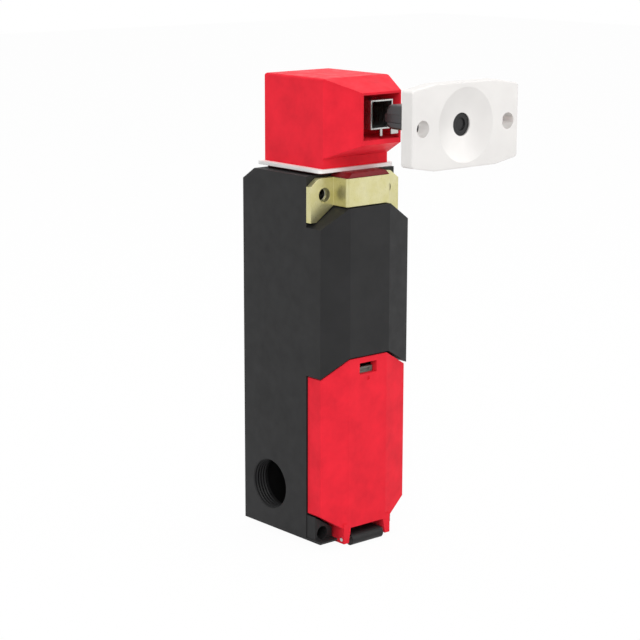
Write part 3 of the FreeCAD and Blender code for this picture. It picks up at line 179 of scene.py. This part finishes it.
def moulded(name, colour, roughness=0.45, mottle=0.08, mottle_size=9 * MM, grain=4e-6, grain_size=0.35 * MM,
            specular=0.35):
    """Moulded plastic: fine eroded grain, slight cloudiness and uneven gloss."""
    s = Surface(name, roughness, specular=specular)
    cloud = s.noise(mottle_size, 2.0)
    s.colour(s.blend(s.spread(cloud, 0.0, 1.0), scaled(colour, 1.0 - mottle), scaled(colour, 1.0 + mottle)))
    fine = s.noise(grain_size, 2.0)
    s.roughness(s.noise(mottle_size * 0.4, 3.0), roughness - 0.06, roughness + 0.08)
    s.relief((fine, grain))
    return s.material


def painted(name, colour, roughness=0.4, mottle=0.1):
    """Powder-painted casting: soft blotches, orange peel and uneven gloss."""
    s = Surface(name, roughness, specular=0.04)
    blotch = s.noise(11 * MM, 3.0)
    fine = s.noise(2.2 * MM, 2.0)
    mixed = s.blend(s.spread(blotch, 0.0, 1.0), scaled(colour, 1.0 - mottle), scaled(colour, 1.0 + mottle))
    pale = tuple(min(1.0, c * 1.12 + 0.008) for c in colour)
    s.colour(s.blend(s.spread(fine, 0.0, 0.22), mixed, pale))
    s.roughness(s.noise(5 * MM, 3.0), roughness - 0.05, roughness + 0.1)
    s.relief((s.noise(1.1 * MM, 1.0), 7e-6), (s.noise(0.3 * MM, 1.0), 2e-6))
    return s.material


def brushed(name, colour, roughness=0.32, along=(1.0, 1.0, 12.0), tint=None, metallic=1.0, blotch=7 * MM):
    """Rolled or ground metal: streaks along one axis and, with a tint, cloudy passivation."""
    s = Surface(name, roughness, metallic)
    streak = s.noise(0.25 * MM, 3.0, along)
    base = s.blend(s.spread(streak, 0.0, 1.0), scaled(colour, 0.9), scaled(colour, 1.06))
    if tint is not None:
        base = s.blend(s.spread(s.noise(blotch, 3.0), 0.0, 0.9), base, tint)
    s.colour(base)
    s.roughness(streak, roughness - 0.07, roughness + 0.1)
    s.relief((streak, 2e-6))
    return s.material


def cast(name, colour, roughness=0.42, metallic=0.35):
    """Fine-blasted die casting with a satin coat."""
    s = Surface(name, roughness, metallic)
    cloud = s.noise(14 * MM, 2.0)
    s.colour(s.blend(s.spread(cloud, 0.0, 1.0), scaled(colour, 0.965), scaled(colour, 1.02)))
    s.roughness(s.noise(3 * MM, 3.0), roughness - 0.05, roughness + 0.07)
    s.relief((s.noise(0.25 * MM, 2.0), 3e-6))
    return s.material


RED = linear(0.91, 0.165, 0.225)
MATERIALS = {
    "body_black": moulded("body_black", linear(0.15, 0.15, 0.153), 0.48, 0.12, 12 * MM, 5e-6, 0.4 * MM, 0.2),
    "lid_red": painted("lid_red", RED, 0.38, 0.1),
    "head_red": painted("head_red", RED, 0.4, 0.09),
    # base_red is the head's red at about half brightness: painted shade for the collar under the white
    # plate, not a different red
    "base_red": moulded("base_red", linear(0.48, 0.08, 0.11), 0.5),
    "plate_white": moulded("plate_white", linear(0.96, 0.955, 0.95), 0.45, 0.03),
    "passivated_steel": brushed("passivated_steel", linear(0.85, 0.83, 0.66), 0.34, (1.0, 1.0, 6.0),
                                linear(0.8, 0.775, 0.54), 0.8),
    "bright_steel": brushed("bright_steel", linear(0.74, 0.745, 0.735), 0.28),
    "dark_steel": brushed("dark_steel", linear(0.33, 0.33, 0.335), 0.34, (1.0, 14.0, 1.0)),
    "cast_zinc": cast("cast_zinc", linear(0.9, 0.89, 0.88)),
    "brass": brushed("brass", linear(0.88, 0.75, 0.45), 0.3),
    "copper": brushed("copper", linear(0.72, 0.42, 0.28), 0.35, (8.0, 8.0, 0.6)),
    "grey_plastic": moulded("grey_plastic", linear(0.45, 0.49, 0.46), 0.5),
    "black_plastic": moulded("black_plastic", linear(0.08, 0.08, 0.085), 0.42),
    "white_plastic": moulded("white_plastic", linear(0.88, 0.88, 0.85), 0.45),
    "seal_rubber": moulded("seal_rubber", linear(0.13, 0.13, 0.135), 0.7),
}


def dress_nodes():
    """Each CAD node gets the material of its slot."""
    slots = {part["node"]: part["material_slot"] for part in frame["record"]["subparts"]}
    for name, node in frame["nodes"].items():
        node.data.materials.clear()
        node.data.materials.append(MATERIALS[slots[name]])


# ---------------------------------------------------------------- mesh helpers
def piece(name, mesh, slot_name, body, smooth_angle=35.0):
    """Puts a mesh in the scene as a piece of the object."""
    made = bpy.data.objects.new(name, mesh)
    bpy.context.scene.collection.objects.link(made)
    mesh.materials.append(MATERIALS[slot_name])
    mesh.shade_smooth()
    bpy.context.view_layer.update()
    mesh.set_sharp_from_angle(angle=math.radians(smooth_angle))
    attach(made, body)
    return made


def ring_mesh(name, profile, centre, axis, steps=96):
    """Turns (distance along the axis, radius) pairs about the axis through centre.

    The profile closes on itself.
    """
    bm = bmesh.new()
    turn = Vector((0, 0, 1)).rotation_difference(Vector(axis)).to_matrix()
    rows = []
    for i in range(steps):
        angle = 2.0 * math.pi * i / steps
        row = []
        for along, radius in profile:
            point = turn @ Vector((radius * math.cos(angle), radius * math.sin(angle), along))
            row.append(bm.verts.new(Vector(centre) + point))
        rows.append(row)
    count = len(profile)
    for i in range(steps):
        here, there = rows[i], rows[(i + 1) % steps]
        for j in range(count):
            k = (j + 1) % count
            bm.faces.new((here[j], there[j], there[k], here[k]))
    bmesh.ops.recalc_face_normals(bm, faces=bm.faces)
    mesh = bpy.data.meshes.new(name)
    bm.to_mesh(mesh)
    bm.free()
    return mesh


# ---------------------------------------------------------------- detail pieces
def entry_thread():
    """The cable entry's thread: low rounded ridges in the bore."""
    place, sizes = mount("cable_entry")
    wall = sizes["r_mm"] - THREAD_SINK
    crest = wall - THREAD_HEIGHT
    start = BODY_LOW.x + THREAD_IN
    end = BODY_LOW.x + THREAD_OUT
    profile = []
    x = start
    while x + THREAD_PITCH <= end:
        profile += [
            (x, wall),
            (x + THREAD_PITCH * THREAD_CREST_FROM, crest),
            (x + THREAD_PITCH * THREAD_CREST_TO, crest),
            (x + THREAD_PITCH * THREAD_FOOT, wall),
        ]
        x += THREAD_PITCH
    profile += [(x, wall), (x, wall + THREAD_BACKING), (start, wall + THREAD_BACKING)]
    centre = Vector((0, place.y, place.z))
    mesh = ring_mesh("entry_thread", profile, centre, (1, 0, 0), THREAD_STEPS)
    piece("entry_thread", mesh, "body_black", "switch", THREAD_SMOOTH)


# ---------------------------------------------------------------- stage, light and camera
def stage_and_light():
    scene = bpy.context.scene
    world = bpy.data.worlds.new("studio")
    scene.world = world
    world.use_nodes = True
    tree = world.node_tree
    tree.nodes.clear()
    output = tree.nodes.new("ShaderNodeOutputWorld")
    white = tree.nodes.new("ShaderNodeBackground")
    white.inputs["Color"].default_value = (1.0, 1.0, 1.0, 1.0)
    white.inputs["Strength"].default_value = 1.0
    soft = tree.nodes.new("ShaderNodeBackground")
    soft.inputs["Color"].default_value = (1.0, 1.0, 1.0, 1.0)
    soft.inputs["Strength"].default_value = WORLD_STRENGTH
    tree.links.new(background_share(tree), mix_shaders(tree, soft, white, output).inputs["Fac"])
    add_floor()
    for name, place, size, power in LAMPS:
        add_lamp(name, place, size, power)
    scene.view_settings.view_transform = "Standard"


def background_share(tree):
    """One for rays that see the background directly, in a reflection or through glass."""
    path = tree.nodes.new("ShaderNodeLightPath")
    total = path.outputs["Is Camera Ray"]
    for ray in ("Is Glossy Ray", "Is Transmission Ray"):
        higher = tree.nodes.new("ShaderNodeMath")
        higher.operation = "MAXIMUM"
        tree.links.new(total, higher.inputs[0])
        tree.links.new(path.outputs[ray], higher.inputs[1])
        total = higher.outputs["Value"]
    return total


def mix_shaders(tree, first, second, output):
    mix = tree.nodes.new("ShaderNodeMixShader")
    tree.links.new(first.outputs[0], mix.inputs[1])
    tree.links.new(second.outputs[0], mix.inputs[2])
    tree.links.new(mix.outputs[0], output.inputs["Surface"])
    return mix


def add_floor():
    """Pale floor, level with the lowest point of the object."""
    half = FLOOR_HALF
    low = CAD_BOUNDS[0][2]
    mesh = bpy.data.meshes.new("floor")
    corners = [(-half, -half, low), (half, -half, low), (half, half, low), (-half, half, low)]
    mesh.from_pydata(corners, [], [(0, 1, 2, 3)])
    floor = bpy.data.objects.new("floor", mesh)
    bpy.context.scene.collection.objects.link(floor)
    material = bpy.data.materials.new("floor")
    material.use_nodes = True
    tree = material.node_tree
    shader = tree.nodes["Principled BSDF"]
    shader.inputs["Base Color"].default_value = (FLOOR_GREY, FLOOR_GREY, FLOOR_GREY, 1.0)
    shader.inputs["Roughness"].default_value = FLOOR_ROUGHNESS
    mesh.materials.append(material)
    glow = tree.nodes.new("ShaderNodeEmission")
    glow.inputs["Color"].default_value = (1.0, 1.0, 1.0, 1.0)
    glow.inputs["Strength"].default_value = 1.0
    output = tree.nodes["Material Output"]
    share = tree.nodes.new("ShaderNodeMath")
    share.operation = "MULTIPLY"
    share.inputs[1].default_value = FLOOR_WHITENESS
    tree.links.new(background_share(tree), share.inputs[0])
    tree.links.new(share.outputs["Value"], mix_shaders(tree, shader, glow, output).inputs["Fac"])


def add_lamp(name, place, size, power):
    data = bpy.data.lights.new(name, "AREA")
    data.shape = "SQUARE"
    data.size = size
    data.energy = power
    lamp = bpy.data.objects.new(name, data)
    bpy.context.scene.collection.objects.link(lamp)
    lamp.location = place
    lamp.rotation_euler = (LAMP_AIM - Vector(place)).to_track_quat("-Z", "Y").to_euler()


def add_camera():
    """Camera at the photograph's viewing angle: low left of the front, slightly above."""
    data = bpy.data.cameras.new("camera")
    data.sensor_width = CAMERA_SENSOR
    data.lens = CAMERA_LENS
    data.clip_end = CAMERA_REACH
    camera = bpy.data.objects.new("camera", data)
    bpy.context.scene.collection.objects.link(camera)
    turn = Vector(CAMERA_AIM).to_track_quat("-Z", "Y").to_matrix() @ Matrix.Rotation(CAMERA_ROLL, 3, "Z")
    camera.matrix_world = Matrix.Translation(CAMERA_PLACE) @ turn.to_4x4()
    bpy.context.scene.camera = camera


dress_nodes()
entry_thread()
stage_and_light()
add_camera()
